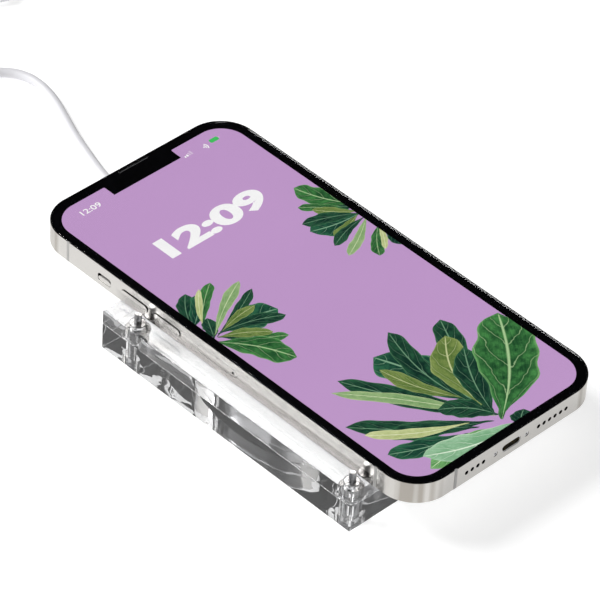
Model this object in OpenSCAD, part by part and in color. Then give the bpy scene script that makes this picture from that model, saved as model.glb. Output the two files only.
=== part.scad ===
// Touch-screen telephone lying on a clear two-plate charging dock, with its puck, lead and plug.
// Millimetres, +Z up, the dock's feet on z = 0. The phone's long side runs along Y, its top end towards +Y.

/* [Phone body] */
// Width of the steel band across X
phone_w = 78.1; // [65:0.1:94]
// Length of the steel band along Y
phone_l = 160.8; // [150:0.1:193]
// Thickness from back glass to front glass
phone_t = 7.65; // [6.4:0.05:9.2]
// Radius of the band's corners seen from above
corner_r = 12.2; // [10:0.1:14]
// Thickness of the band's wall
band_wall = 1.6; // [1.4:0.1:2]
// Thickness of the thin lip that stands round each glass
lip_wall = 0.35; // [0.25:0.05:0.6]
// Thickness of the front glass
glass_t = 0.8; // [0.5:0.05:0.9]
// Thickness of the back glass
back_t = 0.8; // [0.5:0.05:0.9]
// Width of the plastic lines that split the band into aerials
aerial_gap = 1.1; // [0.8:0.1:1.6]

/* [Screen] */
// Width of the black border between the band and the picture
bezel = 3.45; // [2.5:0.05:5]
// Corner radius of the picture
screen_r = 8.9; // [6:0.1:10]
// Width of the notch
notch_w = 27.3; // [20:0.1:34]
// Depth of the notch below the picture's top edge
notch_d = 4.6; // [3.5:0.1:6]

/* [Buttons and tray] */
// Length of each volume button
volume_len = 11.3; // [9:0.1:13.5]
// Length of the side button
side_len = 17; // [14:0.1:20.4]
// Height of the buttons across the band
button_h = 2.4; // [2:0.1:2.9]
// How far a button stands out of the band, which is also its travel
button_travel = 0.3; // [0.2:0.05:0.5]
// Length of the ring switch's lever
switch_len = 5.4; // [4.5:0.1:6.5]
// How far the ring switch slides across the band
switch_travel = 1.0; // [0.8:0.1:1.2]
// Length of the card tray's face
tray_len = 16.6; // [14:0.1:20]
// How far the card tray reaches into the phone
tray_depth = 19; // [16:0.5:22]

/* [Camera bump] */
// Side of the raised square around the rear cameras
bump_w = 33; // [32:0.5:38]
// Height of the raised square
bump_h = 1.5; // [1:0.1:2]
// Outer radius of a camera ring
ring_r = 6.9; // [6.6:0.1:7.2]
// Height of a camera ring above the raised square
ring_h = 2.1; // [1.2:0.1:2.4]

/* [Dock] */
// Length of the dock's plates
dock_l = 104.4; // [87:0.1:126]
// Thickness of the upper plate
upper_t = 5; // [4.5:0.1:6]
// Thickness of the lower plate
lower_t = 9.35; // [8:0.05:11.3]
// How far the feet lift the lower plate off the table
foot_lift = 0.3; // [0.2:0.1:1]
// Distance from a corner post to the plates' side and front edges
post_inset = 4.1; // [4.1:0.1:5]
// Distance from a rear post to the plates' rear edge
post_rear = 10.8; // [5:0.1:14]
// Radius of the post's guide pin, beside the phone
pin_r = 1.1; // [0.9:0.1:1.3]
// Height of the guide pin above the upper plate
pin_h = 3.3; // [2:0.1:4]
// Radius of the post's flange between the plates
flange_r = 3.8; // [3:0.1:3.9]

/* [Charging puck] */
// Diameter of the puck
puck_d = 55.8; // [46.5:0.1:67]
// Thickness of the puck
puck_t = 5.3; // [5.2:0.1:6.3]
// Depth of the pocket in the lower plate
pocket_d = 5; // [3:0.1:6]

/* [Lead] */
// Diameter of the lead
lead_d = 3.2; // [2.7:0.1:3.4]
// Width of the plug's grip
plug_w = 12; // [10:0.1:14]
// Height of the plug's grip
plug_h = 6.2; // [5:0.1:6.4]
// Length of the plug's grip
plug_l = 17; // [14:0.1:21]

/* [Hidden] */
$fn = 48;

// Clearances
glue = 0.05;          // between glued or seated faces
fit = 0.1;            // all round the switch, the tray or a plugged part
key_gap = 0.15;       // all round a pressed button
rest_gap = 0.1;       // between the dock's top and the phone's back
pin_gap = 0.55;       // between the phone's side and the nearer guide pins
pocket_gap = 0.3;     // round the puck in its pocket
bump_gap = 2.9;       // between the dock's rear edge and the camera bump
eps = 0.02;           // overshoot of a cut past the face it opens

// Dock placing
phone_shift = 0.6;    // the phone lies this far towards +X of the dock's middle
post_x = phone_w / 2 + phone_shift + pin_gap + pin_r;
dock_w = 2 * (post_x + post_inset);
dock_top = foot_lift + lower_t + upper_t;
seam_z = foot_lift + lower_t;
bump_margin = 3;      // from the raised square to the band's outside
bump_x = phone_w / 2 - bump_margin - bump_w / 2;
bump_y = phone_l / 2 - bump_margin - bump_w / 2;
dock_rear = bump_y - bump_w / 2 - bump_gap;
dock_front = dock_rear - dock_l;
dock_y = (dock_rear + dock_front) / 2;
puck_y = dock_y + 2.7;
puck_r = puck_d / 2;
posts = [
    [-post_x, dock_front + post_inset], [post_x, dock_front + post_inset],
    [-post_x, dock_rear - post_rear], [post_x, dock_rear - post_rear]
];

// Phone levels, measured up from its back
phone_z = dock_top + rest_gap;
glass_z = phone_t - glass_t;
lip_low = 0.15;       // the lips stand back from each glass by this much
panel_t = 1.05;
panel_z = glass_z - glue - panel_t;
coil_t = 0.6;
coil_z = back_t + glue;
plate_t = 0.6;
plate_z = coil_z + coil_t + 0.2;
parts_z = plate_z + plate_t + glue;
parts_h = panel_z - 0.2 - parts_z;
side_z = phone_t - 4;         // centre of every opening in the band
inner_w = phone_w - 2 * band_wall;
inner_l = phone_l - 2 * band_wall;
inner_r = corner_r - band_wall;
rim_wall = 0.9;
side_x = phone_w / 2;
end_y = phone_l / 2;
rim_x = side_x - band_wall - glue - rim_wall;
rim_y = end_y - band_wall - glue - rim_wall;

// Openings along the band, by the centre of each
aerial_y = end_y - 15.7;
aerial_bottom_x = -22.6;
aerial_top_x = 23.1;
volume_up_y = 35.35;
volume_down_y = 21.4;
switch_y = 48.65;
switch_h = 1.6;
side_button_y = 42.5;
tray_y = 0;
tray_face_h = 2.4;
tray_t = 1.2;
pinhole_r = 0.45;
port_w = 7.8;
port_h = 2.7;
port_depth = 6.5;
port_wall = 0.25;
hole_r = 0.7;
hole_pitch = 2.28;
hole_first = 11.3;    // first sound hole from the middle, on both sides
screw_x = 6.4;
screw_r = 0.8;
flange_t = 0.5;       // a button's inner flange
flange_edge = 0.6;    // how far it reaches past the opening
nub_l = 0.4;
dome_t = 0.5;

// Rear cameras: three in a square of four places, lamp and sensor in the fourth
cam_step = 7.9;
cams = [[-cam_step, cam_step], [-cam_step, -cam_step], [cam_step, -cam_step]];
barrel_r = 5.5;
lens_t = 0.45;
barrel_low = -bump_h - ring_h + lens_t + 0.2;

// Notch pieces
notch_y = end_y - bezel - notch_d;
notch_mid = (notch_y + rim_y) / 2;
ear_y = end_y - 1.5;
ear_w = 12;
ear_h = 0.8;

// Puck
shell_wall = 0.9;
face_t = 0.8;
puck_z = dock_top - puck_t;
pocket_r = puck_r + pocket_gap;
riser_t = pocket_d - (puck_z < seam_z ? seam_z - puck_z : 0);
magnet_t = 3;
magnet_w = 3;
coil_h = 1.4;
board_t = 1;
lead_z = dock_top - puck_t / 2;
slot_w = 5;
relief_l = 8.1;
relief_r = 2.1;

// Posts
collar_r = 2.4;
post_clear = 0.1;
shank_r = 2;
nut_af = 5.5;
nut_t = 2.3;
foot_r = 3.4;
foot_t = 0.75;

// Lead: the loose stretch out of the dock, chosen by hand
LEAD_RUN = [
    [0.6, 28, 12], [0.6, 34, 12], [0.6, 40, 12], [0.6, 46, 11.7], [0.6, 52, 10.6], [0.8, 58, 8.7],
    [1.2, 64, 6.5], [1.8, 70, 4.4], [2.6, 76, 2.8], [3.6, 82, 1.9], [4.7, 88, 1.6],
    [6.1, 94, 1.6], [7.6, 100, 1.6], [9.3, 106, 1.6], [11.2, 112, 1.6], [13.2, 118, 1.6],
    [15.5, 124, 1.6], [18, 130, 1.6], [20.3, 136, 1.6], [22, 142, 1.6], [22.7, 148, 1.6],
    [21.9, 153, 1.6], [19.4, 157.4, 1.6], [15.3, 160.7, 1.7], [10, 162.5, 1.9], [4, 163, 2.1],
    [-3, 163, 2.2]
];
// The short stretch from the coil's outer turn to the plug
LEAD_TAIL = [
    [-3, 207.8, 5.4], [3, 207.5, 5.4], [9, 206.7, 5.1], [15, 205.4, 4.5], [21, 203.4, 3.7],
    [26, 201.3, 3.2], [28, 200.4, 3.2]
];
coil_x = -3;
coil_y = 185.4;
coil_base = 0.6;      // the tie lies under the turns
coil_cols = 4;
coil_layers = 2;
coil_mid_r = 17.6;    // middle of the turns
tail_end = LEAD_TAIL[len(LEAD_TAIL) - 1];
tail_way = tail_end - LEAD_TAIL[len(LEAD_TAIL) - 2];
plug_turn = atan2(tail_way[1], tail_way[0]);
tie_t = 0.6;
tie_w = 8;
tie_turn = 20;

// ---- shared shapes ----

module rounded_rect(w, l, r) {
    square([w - 2 * r, l], center = true);
    square([w, l - 2 * r], center = true);
    for (x = [-1, 1], y = [-1, 1])
        translate([x * (w / 2 - r), y * (l / 2 - r)])
            circle(r = r);
}

module plate(w, l, r, z, t) {
    translate([0, 0, z])
        linear_extrude(t)
            rounded_rect(w, l, r);
}

module ring_plate(w, l, r, wall, z, t) {
    translate([0, 0, z])
        linear_extrude(t)
            difference() {
                rounded_rect(w, l, r);
                rounded_rect(w - 2 * wall, l - 2 * wall, r - wall);
            }
}

module disc(r, z, t) {
    translate([0, 0, z])
        cylinder(r = r, h = t);
}

module tube(r_out, r_in, z, t) {
    translate([0, 0, z])
        difference() {
            cylinder(r = r_out, h = t);
            translate([0, 0, -eps])
                cylinder(r = r_in, h = t + 2 * eps);
        }
}

// A bar with round ends, its length along Y, pushed from x = 0 to x = depth
module bar_x(len, high, depth) {
    translate([0, -(len - high) / 2, -high / 2])
        cube([depth, len - high, high]);
    for (y = [-1, 1])
        translate([0, y * (len - high) / 2, 0])
            rotate([0, 90, 0])
                cylinder(r = high / 2, h = depth);
}

// The same bar with its length along X, pushed from y = 0 to y = depth
module bar_y(len, high, depth) {
    mirror([1, -1, 0])
        bar_x(len, high, depth);
}

module on_phone() {
    translate([phone_shift, 0, phone_z])
        children();
}

// Puts the left side's outer face at x = 0, inwards being +X
module on_left(y, z) {
    translate([-side_x, y, z])
        children();
}

module on_right(y, z) {
    translate([side_x, y, z])
        mirror([1, 0, 0])
            children();
}

module on_bottom(x, z) {
    translate([x, -end_y, z])
        children();
}

module on_puck() {
    translate([phone_shift, puck_y, 0])
        children();
}

// ---- phone: band and frame ----

module band_ring() {
    ring_plate(phone_w, phone_l, corner_r, lip_wall, lip_low, phone_t - 2 * lip_low);
    ring_plate(phone_w, phone_l, corner_r, band_wall, back_t + glue, glass_z - back_t - 2 * glue);
}

module band_openings() {
    over = band_wall + 2 * eps;
    for (y = [volume_up_y, volume_down_y])
        on_left(y, side_z)
            translate([-eps, 0, 0])
                bar_x(volume_len + 2 * key_gap, button_h + 2 * key_gap, over);
    on_left(switch_y, side_z)
        translate([-eps, 0, 0]) {
            for (z = [0, -switch_travel])
                translate([0, 0, z])
                    bar_x(switch_len + 2 * fit, switch_h + 2 * fit, over);
            translate([0, -switch_len / 2 - fit, -switch_travel])
                cube([over, switch_len + 2 * fit, switch_travel]);
        }
    on_left(tray_y, side_z)
        translate([-eps, 0, 0])
            bar_x(tray_len + 2 * fit, tray_face_h + 2 * fit, over);
    on_right(side_button_y, side_z)
        translate([-eps, 0, 0])
            bar_x(side_len + 2 * key_gap, button_h + 2 * key_gap, over);
    on_bottom(0, side_z)
        translate([0, -eps, 0])
            bar_y(port_w, port_h, over);
    for (x = sound_holes())
        on_bottom(x, side_z)
            translate([0, -eps, 0])
                rotate([-90, 0, 0])
                    cylinder(r = hole_r, h = over, $fn = 24);
    for (x = [-screw_x, screw_x])
        on_bottom(x, side_z)
            translate([0, -eps, 0])
                rotate([-90, 0, 0])
                    cylinder(r = screw_r + glue, h = over, $fn = 24);
}

function sound_holes() = concat(
    [for (i = [0:3]) -hole_first - i * hole_pitch],
    [for (i = [0:5]) hole_first + i * hole_pitch]
);

// One piece of the band: the ring inside the box from corner a to corner b
module band_piece(a, b) {
    color([0.85, 0.84, 0.81])
        on_phone()
            difference() {
                intersection() {
                    band_ring();
                    translate([a[0], a[1], -1])
                        cube([b[0] - a[0], b[1] - a[1], phone_t + 2]);
                }
                band_openings();
            }
}

far = 100;
half_gap = aerial_gap / 2;

module band_left() {
    band_piece([-far, -aerial_y + half_gap], [0, aerial_y - half_gap]);
}

module band_right() {
    band_piece([0, -aerial_y + half_gap], [far, aerial_y - half_gap]);
}

module band_bottom_left() {
    band_piece([-far, -2 * far], [aerial_bottom_x - half_gap, -aerial_y - half_gap]);
}

module band_bottom_right() {
    band_piece([aerial_bottom_x + half_gap, -2 * far], [far, -aerial_y - half_gap]);
}

module band_top_left() {
    band_piece([-far, aerial_y + half_gap], [aerial_top_x - half_gap, 2 * far]);
}

module band_top_right() {
    band_piece([aerial_top_x + half_gap, aerial_y + half_gap], [far, 2 * far]);
}

module aerial_inserts() {
    color([0.58, 0.57, 0.55])
        on_phone()
            intersection() {
                band_ring();
                union() {
                    for (y = [-aerial_y, aerial_y])
                        translate([-far, y - half_gap, -1])
                            cube([2 * far, aerial_gap, phone_t + 2]);
                    translate([aerial_bottom_x - half_gap, -2 * far, -1])
                        cube([aerial_gap, 2 * far, phone_t + 2]);
                    translate([aerial_top_x - half_gap, 0, -1])
                        cube([aerial_gap, 2 * far, phone_t + 2]);
                }
            }
}

module mid_frame() {
    fw = inner_w - 2 * glue;
    fl = inner_l - 2 * glue;
    fr = inner_r - glue;
    window_h = button_h + 2 * flange_edge + 0.8;
    color([0.62, 0.63, 0.65])
        on_phone()
            difference() {
                union() {
                    ring_plate(fw, fl, fr, rim_wall, back_t + 2 * glue, glass_z - back_t - 3 * glue);
                    plate(fw - rim_wall, fl - rim_wall, fr - rim_wall / 2, plate_z, plate_t);
                }
                for (c = cams)
                    translate([bump_x + c[0], bump_y + c[1], 0])
                        disc(barrel_r + fit, 0, parts_z);
                for (y = [volume_up_y, volume_down_y])
                    rim_window(-1, y, volume_len + 2 * flange_edge + 1, window_h);
                rim_window(-1, switch_y, switch_len + 1.2, window_h);
                rim_window(-1, tray_y, tray_len + 0.6, tray_face_h);
                rim_window(1, side_button_y, side_len + 2 * flange_edge + 1, window_h);
                translate([-screw_x - 1.5, -end_y, side_z - port_h / 2 - 0.3])
                    cube([2 * screw_x + 3, 4, port_h + 0.6]);
                translate([hole_first - 1.5, -end_y, side_z - 1.2])
                    cube([5 * hole_pitch + 3, 4, 2.4]);
                translate([-hole_first - 3 * hole_pitch - 1.5, -end_y, side_z - 1.2])
                    cube([3 * hole_pitch + 3, 4, 2.4]);
            }
}

// Clears the rim behind an opening on the left (-1) or right (1) side
module rim_window(side, y, len, high) {
    translate([side * (side_x - 2.2) - 1.5, y - len / 2, side_z - high / 2])
        cube([3, len, high]);
}

// ---- phone: glass and screen ----

module cover_glass() {
    w = phone_w - 2 * lip_wall - 2 * glue;
    l = phone_l - 2 * lip_wall - 2 * glue;
    color([0.05, 0.05, 0.06])
        on_phone()
            difference() {
                plate(w, l, corner_r - lip_wall - glue, glass_z, glass_t);
                translate([0, ear_y, glass_z - eps])
                    linear_extrude(glass_t + 2 * eps)
                        rounded_rect(ear_w, ear_h, ear_h / 2 - 0.01);
            }
}

module display_panel() {
    color([0.74, 0.59, 0.79])
        on_phone()
            difference() {
                plate(phone_w - 2 * bezel, phone_l - 2 * bezel, screen_r, panel_z, panel_t);
                translate([-notch_w / 2, notch_y, panel_z - eps])
                    cube([notch_w, notch_d + 1, panel_t + 2 * eps]);
            }
}

module front_camera() {
    color([0.1, 0.1, 0.14])
        on_phone()
            translate([notch_w / 2 - 4, notch_mid, 0])
                disc(1.7, panel_z, panel_t);
}

module face_sensors() {
    color([0.16, 0.12, 0.16])
        on_phone()
            for (x = [-notch_w / 2 + 4, -notch_w / 2 + 9, 2])
                translate([x, notch_mid, 0])
                    disc(1.4, panel_z, panel_t);
}

module earpiece_mesh() {
    color([0.25, 0.25, 0.26])
        on_phone()
            translate([0, ear_y, glass_z + 0.05])
                linear_extrude(0.3)
                    rounded_rect(ear_w - fit, ear_h - fit, ear_h / 2 - fit);
}

module receiver() {
    color([0.3, 0.3, 0.32])
        on_phone()
            translate([bump_x - bump_w / 2 - 8, notch_mid - 4, 0])
                plate(12, 6, 1.5, parts_z, parts_h);
}

module back_glass() {
    w = phone_w - 2 * lip_wall - 2 * glue;
    l = phone_l - 2 * lip_wall - 2 * glue;
    color([0.93, 0.93, 0.91])
        on_phone()
            difference() {
                plate(w, l, corner_r - lip_wall - glue, 0, back_t);
                for (c = cams)
                    translate([bump_x + c[0], bump_y + c[1], 0])
                        disc(barrel_r + fit, -eps, back_t + 2 * eps);
            }
}

// ---- phone: rear cameras ----

module on_bump() {
    on_phone()
        translate([bump_x, bump_y, 0])
            children();
}

module camera_plateau() {
    color([0.9, 0.9, 0.88])
        on_bump()
            difference() {
                plate(bump_w, bump_w, 8, -bump_h, bump_h);
                for (c = cams)
                    translate([c[0], c[1], 0])
                        disc(barrel_r + fit, -bump_h - eps, bump_h + 2 * eps);
                translate([cam_step, cam_step + 3.6, 0])
                    disc(2.7, -bump_h - eps, 1 + eps);
                translate([cam_step, cam_step - 3.6, 0])
                    disc(2.3, -bump_h - eps, 1 + eps);
            }
}

module camera_rings() {
    color([0.8, 0.79, 0.77])
        on_bump()
            for (c = cams)
                translate([c[0], c[1], 0])
                    tube(ring_r, barrel_r + 2 * fit, -bump_h - ring_h, ring_h);
}

module camera_lenses() {
    color([0.08, 0.09, 0.14])
        on_bump()
            for (c = cams)
                translate([c[0], c[1], 0])
                    disc(barrel_r + fit, -bump_h - ring_h + 0.15, lens_t);
}

module camera_barrels() {
    color([0.12, 0.12, 0.13])
        on_bump()
            for (c = cams)
                translate([c[0], c[1], 0])
                    disc(barrel_r, barrel_low, panel_z - 0.2 - barrel_low);
}

module flash_lens() {
    color([0.97, 0.93, 0.78])
        on_bump()
            translate([cam_step, cam_step + 3.6, 0])
                disc(2.6, -bump_h, 0.95);
}

module rear_sensor() {
    color([0.1, 0.08, 0.09])
        on_bump()
            translate([cam_step, cam_step - 3.6, 0])
                disc(2.2, -bump_h, 0.95);
}

// ---- phone: inside ----

module phone_magnets() {
    r = puck_r - 1.6;
    color([0.55, 0.55, 0.56])
        on_phone()
            translate([0, puck_y, 0])
                tube(r, r - 3.4, coil_z, coil_t);
}

module charge_coil() {
    r = puck_r - 5.6;
    color([0.72, 0.42, 0.24])
        on_phone()
            translate([0, puck_y, 0])
                tube(r, r / 2, coil_z, coil_t - 0.1);
}

tray_end = -side_x + tray_depth;

module battery() {
    x0 = tray_end + 2;
    x1 = rim_x - 1;
    y0 = -end_y + 18;
    y1 = bump_y - bump_w / 2 - 3;
    color([0.16, 0.16, 0.18])
        on_phone()
            translate([(x0 + x1) / 2, (y0 + y1) / 2, 0])
                plate(x1 - x0, y1 - y0, 2, parts_z, parts_h);
}

module logic_board() {
    x0 = -rim_x + 3.4;
    x1 = tray_end;
    y0 = -40;
    y1 = bump_y;
    chip_h = min(1.6, parts_h - 0.7);
    color([0.1, 0.32, 0.22])
        on_phone()
            union() {
                translate([x0, y0, parts_z])
                    cube([x1 - x0, y1 - y0, 0.6]);
                for (y = [-30, -20, 16, 28, 40])
                    translate([x0 + 2, y, parts_z + 0.6])
                        cube([x1 - x0 - 4, 8, y > 0 || y < -12 ? chip_h : 0.3]);
            }
}

module loudspeaker() {
    color([0.14, 0.14, 0.15])
        on_phone()
            translate([rim_x - 14, -end_y + 11, 0])
                plate(22, 10, 2, parts_z, parts_h);
}

module vibration_motor() {
    color([0.66, 0.66, 0.68])
        on_phone()
            translate([-rim_x + 14, -end_y + 10, 0])
                plate(20, 8, 1, parts_z, parts_h);
}

module port_shell() {
    w = port_w - 2 * glue;
    h = port_h - 2 * glue;
    color([0.55, 0.56, 0.58])
        on_phone()
            on_bottom(0, side_z)
                translate([0, 0.1, 0])
                    difference() {
                        bar_y(w, h, port_depth);
                        translate([0, -eps, 0])
                            bar_y(w - 2 * port_wall, h - 2 * port_wall, port_depth - port_wall);
                    }
}

module port_contacts() {
    color([0.83, 0.68, 0.36])
        on_phone()
            on_bottom(0, side_z)
                for (i = [-3.5:1:3.5])
                    translate([i * 0.6 - 0.18, 1.5, -port_h / 2 + port_wall + glue])
                        cube([0.36, 3.5, 0.2]);
}

module port_meshes() {
    y = band_wall + 0.1;
    color([0.2, 0.2, 0.21])
        on_phone() {
            on_bottom(-hole_first - 1.5 * hole_pitch, side_z)
                translate([-1.5 * hole_pitch - 1, y, -1])
                    cube([3 * hole_pitch + 2, 0.25, 2]);
            on_bottom(hole_first + 2.5 * hole_pitch, side_z)
                translate([-2.5 * hole_pitch - 1, y, -1])
                    cube([5 * hole_pitch + 2, 0.25, 2]);
        }
}

module end_screws() {
    color([0.6, 0.6, 0.6])
        on_phone()
            for (x = [-screw_x, screw_x])
                on_bottom(x, side_z)
                    translate([0, 0.15, 0])
                        difference() {
                            rotate([-90, 0, 0])
                                cylinder(r = screw_r, h = 3, $fn = 24);
                            translate([0, -eps, 0])
                                rotate([-90, 0, 0])
                                    cylinder(r = screw_r / 2, h = 0.4, $fn = 5);
                        }
}

// ---- phone: moving pieces ----

// A press button seen from the outside: proud head, flange behind the band and a nub for its dome
module press_button(len) {
    translate([-button_travel, 0, 0])
        bar_x(len, button_h, band_wall + glue + button_travel);
    translate([band_wall + glue, 0, 0])
        bar_x(len + 2 * flange_edge, button_h + 2 * flange_edge, flange_t);
    translate([band_wall + glue + flange_t, 0, 0])
        rotate([0, 90, 0])
            cylinder(r = 0.6, h = nub_l, $fn = 24);
}

dome_x = band_wall + glue + flange_t + nub_l + button_travel + 0.1;

module switch_domes() {
    color([0.75, 0.75, 0.76])
        on_phone() {
            for (y = [volume_up_y, volume_down_y])
                on_left(y, side_z)
                    translate([dome_x, 0, 0])
                        rotate([0, 90, 0])
                            cylinder(r1 = 1, r2 = 1.4, h = dome_t, $fn = 24);
            on_right(side_button_y, side_z)
                translate([dome_x, 0, 0])
                    rotate([0, 90, 0])
                        cylinder(r1 = 1, r2 = 1.4, h = dome_t, $fn = 24);
        }
}

module volume_up() {
    color([0.86, 0.85, 0.82])
        on_phone()
            on_left(volume_up_y, side_z)
                press_button(volume_len);
}

module volume_down() {
    color([0.86, 0.85, 0.82])
        on_phone()
            on_left(volume_down_y, side_z)
                press_button(volume_len);
}

module side_button() {
    color([0.86, 0.85, 0.82])
        on_phone()
            on_right(side_button_y, side_z)
                press_button(side_len);
}

module ring_switch() {
    color([0.86, 0.85, 0.82])
        on_phone()
            on_left(switch_y, side_z - switch_travel) {
                translate([0.1, 0, 0])
                    bar_x(switch_len, switch_h, band_wall + glue);
                translate([band_wall + glue + 0.1, 0, 0])
                    bar_x(switch_len - 1, switch_h, 1);
            }
}

module sim_tray() {
    frame_t = 1.4;
    reach = tray_depth - band_wall;
    color([0.84, 0.83, 0.8])
        on_phone()
            on_left(tray_y, side_z)
                difference() {
                    union() {
                        bar_x(tray_len, tray_face_h, band_wall);
                        translate([band_wall, -tray_len / 2 + 1.2, -tray_t / 2])
                            cube([reach, tray_len - 5, tray_t]);
                    }
                    translate([band_wall + frame_t, -tray_len / 2 + 1.2 + frame_t, -tray_t / 2 + 0.3])
                        cube([reach - 2 * frame_t, tray_len - 5 - 2 * frame_t, tray_t]);
                    translate([-eps, -tray_len / 2 + 1.75, 0])
                        rotate([0, 90, 0])
                            cylinder(r = pinhole_r, h = 1.2, $fn = 24);
                }
}

module sim_card() {
    inset = 1.4 + fit;
    reach = tray_depth - band_wall;
    color([0.9, 0.9, 0.92])
        on_phone()
            on_left(tray_y, side_z)
                translate([band_wall + inset, -tray_len / 2 + 1.2 + inset, -tray_t / 2 + 0.35])
                    cube([reach - 2 * inset, tray_len - 5 - 2 * inset, 0.7]);
}

// ---- dock ----

module dock_plate(z, t) {
    translate([-dock_w / 2, dock_front, z])
        cube([dock_w, dock_l, t]);
}

module upper_plate() {
    color([0.85, 0.9, 0.93, 0.4])
        difference() {
            dock_plate(seam_z, upper_t);
            on_puck()
                disc(pocket_r, seam_z - eps, upper_t + 2 * eps);
            translate([phone_shift - slot_w / 2, puck_y, seam_z - eps])
                cube([slot_w, dock_rear - puck_y + eps, upper_t + 2 * eps]);
            for (p = posts)
                translate(p) {
                    disc(collar_r + post_clear, seam_z - eps, upper_t + 2 * eps);
                    disc(flange_r + post_clear, seam_z - eps, 1 + post_clear);
                }
        }
}

module lower_plate() {
    color([0.85, 0.9, 0.93, 0.4])
        difference() {
            dock_plate(foot_lift, lower_t);
            on_puck()
                disc(pocket_r, seam_z - pocket_d, pocket_d + eps);
            for (p = posts)
                translate(p) {
                    disc(shank_r + post_clear, foot_lift - eps, lower_t + 2 * eps);
                    disc(foot_r + post_clear, foot_lift - eps, foot_t + nut_t);
                }
        }
}

module corner_posts() {
    shank_low = foot_t + 0.2;
    color([0.8, 0.8, 0.82])
        for (p = posts)
            translate(p) {
                disc(shank_r, shank_low, seam_z - shank_low);
                disc(flange_r, seam_z, 1);
                disc(collar_r, seam_z + 1, upper_t - 1);
                disc(pin_r, dock_top, pin_h);
            }
}

module post_nuts() {
    color([0.7, 0.7, 0.72])
        for (p = posts)
            translate([p[0], p[1], foot_t + 0.1])
                difference() {
                    cylinder(d = nut_af / cos(30), h = nut_t - 0.2, $fn = 6);
                    translate([0, 0, -eps])
                        cylinder(r = shank_r + glue, h = nut_t);
                }
}

module feet() {
    color([0.2, 0.2, 0.21])
        for (p = posts)
            translate(p)
                disc(foot_r, 0, foot_t);
}

// ---- puck ----

module puck_shell() {
    color([0.78, 0.79, 0.8])
        on_puck()
            difference() {
                disc(puck_r, puck_z, puck_t - 0.1);
                disc(puck_r - shell_wall, puck_z + shell_wall, puck_t);
                translate([0, puck_r - 2 * shell_wall, lead_z])
                    rotate([-90, 0, 0])
                        cylinder(r = lead_d / 2 + fit, h = 3 * shell_wall);
            }
}

module puck_face() {
    color([0.96, 0.96, 0.97])
        on_puck()
            disc(puck_r - shell_wall - glue, dock_top - face_t, face_t);
}

module puck_coil() {
    color([0.72, 0.42, 0.24])
        on_puck()
            tube(puck_r - 6.5, puck_r - 17, dock_top - face_t - 0.1 - coil_h, coil_h);
}

// Twelve magnet blocks in a ring, with a gap for the lead
module puck_magnets() {
    r = puck_r - shell_wall - 0.6 - magnet_w;
    width = 2 * PI * r / 12 - 1.2;
    color([0.6, 0.6, 0.62])
        on_puck()
            for (i = [0:10])
                rotate([0, 0, 90 + 30 * (i + 1)])
                    translate([r, -width / 2, puck_z + shell_wall + 0.1])
                        cube([magnet_w - 0.4, width, magnet_t - 0.2]);
}

module puck_board() {
    color([0.1, 0.32, 0.22])
        on_puck() {
            disc(puck_r - 7.5, puck_z + shell_wall + 0.1, board_t);
            for (a = [30, 150, 270])
                rotate([0, 0, a])
                    translate([3, -3, puck_z + shell_wall + 0.1 + board_t])
                        cube([6, 6, 0.3]);
        }
}

module puck_riser() {
    color([0.22, 0.22, 0.23])
        on_puck()
            disc(puck_r, seam_z - pocket_d, riser_t);
}

module strain_relief() {
    r = lead_d / 2;
    color([0.95, 0.95, 0.96])
        translate([phone_shift, puck_y, lead_z])
            rotate([-90, 0, 0]) {
                translate([0, 0, puck_r - 2 * shell_wall])
                    cylinder(r = r, h = 2.5 * shell_wall);
                translate([0, 0, puck_r + 0.05])
                    cylinder(r1 = relief_r, r2 = r, h = relief_l - 0.05);
            }
}

// ---- lead ----

// Direction of the route at point i
function heading(p, i) =
    let (a = p[max(i - 1, 0)], b = p[min(i + 1, len(p) - 1)])
        (b - a) / norm(b - a);

// A ring of n points round point i of the route, square to it and level sideways
function hoop(p, i, r, n) =
    let (
        d = heading(p, i),
        side = cross(d, [0, 0, 1]) / norm(cross(d, [0, 0, 1])),
        up = cross(side, d)
    )
        [for (k = [0:n - 1]) p[i] + r * (cos(360 * k / n) * side + sin(360 * k / n) * up)];

module lead_tube(route, r, n) {
    last = len(route) - 1;
    points = [for (i = [0:last]) each hoop(route, i, r, n)];
    walls = [
        for (i = [0:last - 1], k = [0:n - 1])
            [i * n + k, i * n + (k + 1) % n, (i + 1) * n + (k + 1) % n, (i + 1) * n + k]
    ];
    start_cap = [[for (k = [n - 1:-1:0]) k]];
    end_cap = [[for (k = [0:n - 1]) last * n + k]];
    polyhedron(points = points, faces = concat(walls, start_cap, end_cap), convexity = 10);
}

module cord_run() {
    color([0.96, 0.96, 0.97])
        lead_tube(LEAD_RUN, lead_d / 2, 8);
}

module cord_tail() {
    color([0.96, 0.96, 0.97])
        lead_tube(LEAD_TAIL, lead_d / 2, 8);
}

coil_half = coil_cols * lead_d / 2;
coil_h_all = coil_layers * lead_d;

module cord_coil() {
    color([0.94, 0.94, 0.95])
        translate([coil_x, coil_y, coil_base])
            rotate_extrude($fn = 72)
                translate([coil_mid_r - coil_half, 0])
                    square([2 * coil_half, coil_h_all]);
}

// A strap round the coil's section, with room for the turns' curve
module cord_tie() {
    near = coil_mid_r - coil_half - 0.8;
    out = coil_mid_r + coil_half + glue;
    top = coil_base + coil_h_all + glue;
    color([0.25, 0.25, 0.27])
        translate([coil_x, coil_y, 0])
            rotate([0, 0, tie_turn])
                difference() {
                    translate([near - tie_t, -tie_w / 2, coil_base - tie_t])
                        cube([out - near + 2 * tie_t, tie_w, top + 2 * tie_t - coil_base]);
                    translate([near, -tie_w / 2 - 1, coil_base])
                        cube([out - near, tie_w + 2, top - coil_base]);
                }
}

module on_plug() {
    translate(tail_end)
        rotate([0, 0, plug_turn])
            children();
}

plug_neck = 4;

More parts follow.
